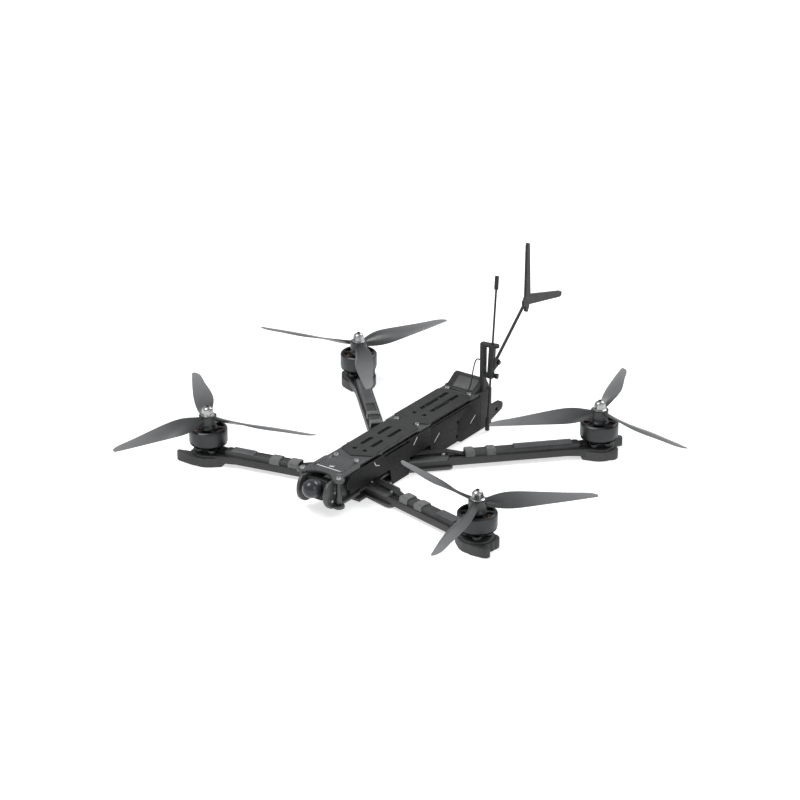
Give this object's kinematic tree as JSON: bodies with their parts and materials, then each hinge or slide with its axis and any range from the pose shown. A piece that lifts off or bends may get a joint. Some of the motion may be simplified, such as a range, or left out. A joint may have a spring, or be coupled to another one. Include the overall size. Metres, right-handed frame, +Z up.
{
  "type": "quadcopter drone",
  "caption": "Long-range camera quadcopter with a plate-and-standoff body, arms with motor guards, three-blade propellers, a tilting nose camera and rear antennas.",
  "frame": {"origin": "on the centre line, midway between the front and rear motor rows, on the plane the motor guards stand on", "axes": "+Z up along the motor shafts, -Y towards the nose camera, +X towards the craft's left side"},
  "size_m": [0.5226, 0.4624, 0.1836],
  "materials": {
    "carbon": "satin twill carbon plate",
    "arm_carbon": "matt carbon plate",
    "pad_rubber": "matt, slightly textured",
    "side_panel": "matt moulded",
    "anodised": "black anodised, satin",
    "steel": "dark screws with bright rims",
    "tpu": "matt flexible print",
    "motor_metal": "black anodised, satin",
    "lamination": "lacquered laminations",
    "copper": "enamelled copper wire",
    "magnet": "nickel plated",
    "shaft": "blackened steel",
    "nut": "bright",
    "propeller": "smoke grey, slightly translucent",
    "case": "moulded black",
    "lens": "polished dome",
    "board": "black solder mask",
    "nylon": "moulded",
    "heatsink": "satin",
    "connector": "moulded with silicone wire",
    "gps_cover": "smooth cover",
    "antenna": "moulded sleeve",
    "wire": "silicone insulation",
    "sleeve": "moulded duct",
    "band": "woven tape",
    "cover": "smooth cover strip"
  },
  "bodies": {
    "airframe": {"bottom_plate": "carbon", "mid_plate": "carbon", "top_plate": "carbon", "camera_plates": "carbon", "battery_pad": "pad_rubber", "side_panel_left": "side_panel", "side_panel_right": "side_panel", "standoffs": "anodised", "frame_screws": "steel", "motor_screws": "steel", "antenna_screws": "steel", "motor_guards": "tpu", "tail_mount": "tpu", "motor_bases": "motor_metal", "stators": "lamination", "windings": "copper", "bearings": "steel", "flight_controller": "board", "esc_board": "board", "stack_hardware": "nylon", "video_transmitter": "heatsink", "receiver": "board", "capacitor": "heatsink", "power_lead": "connector", "gps_module": "gps_cover", "control_antenna": "antenna", "coax_cable": "wire", "motor_wires": "wire", "wire_sleeves": "sleeve", "wire_bands": "band", "arm_covers": "cover", "arm_front_left": "arm_carbon", "arm_front_right": "arm_carbon", "arm_rear_left": "arm_carbon", "arm_rear_right": "arm_carbon"},
    "rotor_front_left": {"bell_front_left": "motor_metal", "magnets_front_left": "magnet", "shaft_front_left": "shaft", "prop_nut_front_left": "nut", "propeller_front_left": "propeller"},
    "rotor_front_right": {"bell_front_right": "motor_metal", "magnets_front_right": "magnet", "shaft_front_right": "shaft", "prop_nut_front_right": "nut", "propeller_front_right": "propeller"},
    "rotor_rear_left": {"bell_rear_left": "motor_metal", "magnets_rear_left": "magnet", "shaft_rear_left": "shaft", "prop_nut_rear_left": "nut", "propeller_rear_left": "propeller"},
    "rotor_rear_right": {"bell_rear_right": "motor_metal", "magnets_rear_right": "magnet", "shaft_rear_right": "shaft", "prop_nut_rear_right": "nut", "propeller_rear_right": "propeller"},
    "camera": {"camera_housing": "case", "camera_lens": "lens", "camera_screws": "steel"},
    "video_antenna": {"video_antenna": "antenna"},
    "boot_button": {"boot_button": "case"}
  },
  "joints": [
    {"name": "spin_front_left", "type": "hinge", "parent": "airframe", "child": "rotor_front_left", "pos_m": [0.161, -0.1181, 0.03], "axis": [0, 0, 1], "continuous": true},
    {"name": "spin_front_right", "type": "hinge", "parent": "airframe", "child": "rotor_front_right", "pos_m": [-0.161, -0.1181, 0.03], "axis": [0, 0, 1], "continuous": true},
    {"name": "spin_rear_left", "type": "hinge", "parent": "airframe", "child": "rotor_rear_left", "pos_m": [0.1485, 0.1181, 0.03], "axis": [0, 0, 1], "continuous": true},
    {"name": "spin_rear_right", "type": "hinge", "parent": "airframe", "child": "rotor_rear_right", "pos_m": [-0.1485, 0.1181, 0.03], "axis": [0, 0, 1], "continuous": true},
    {"name": "camera_tilt", "type": "hinge", "parent": "airframe", "child": "camera", "pos_m": [0, -0.147, 0.026], "axis": [1, 0, 0], "range_deg": [-15, 20]},
    {"name": "video_antenna_fold", "type": "hinge", "parent": "airframe", "child": "video_antenna", "pos_m": [0.028, 0.11116, 0.073], "axis": [1, 0, 0], "range_deg": [-25, 30]},
    {"name": "boot_button_press", "type": "slide", "parent": "airframe", "child": "boot_button", "axis": [0, 0, -1], "range_m": [0, 0.0003]}
  ]
}
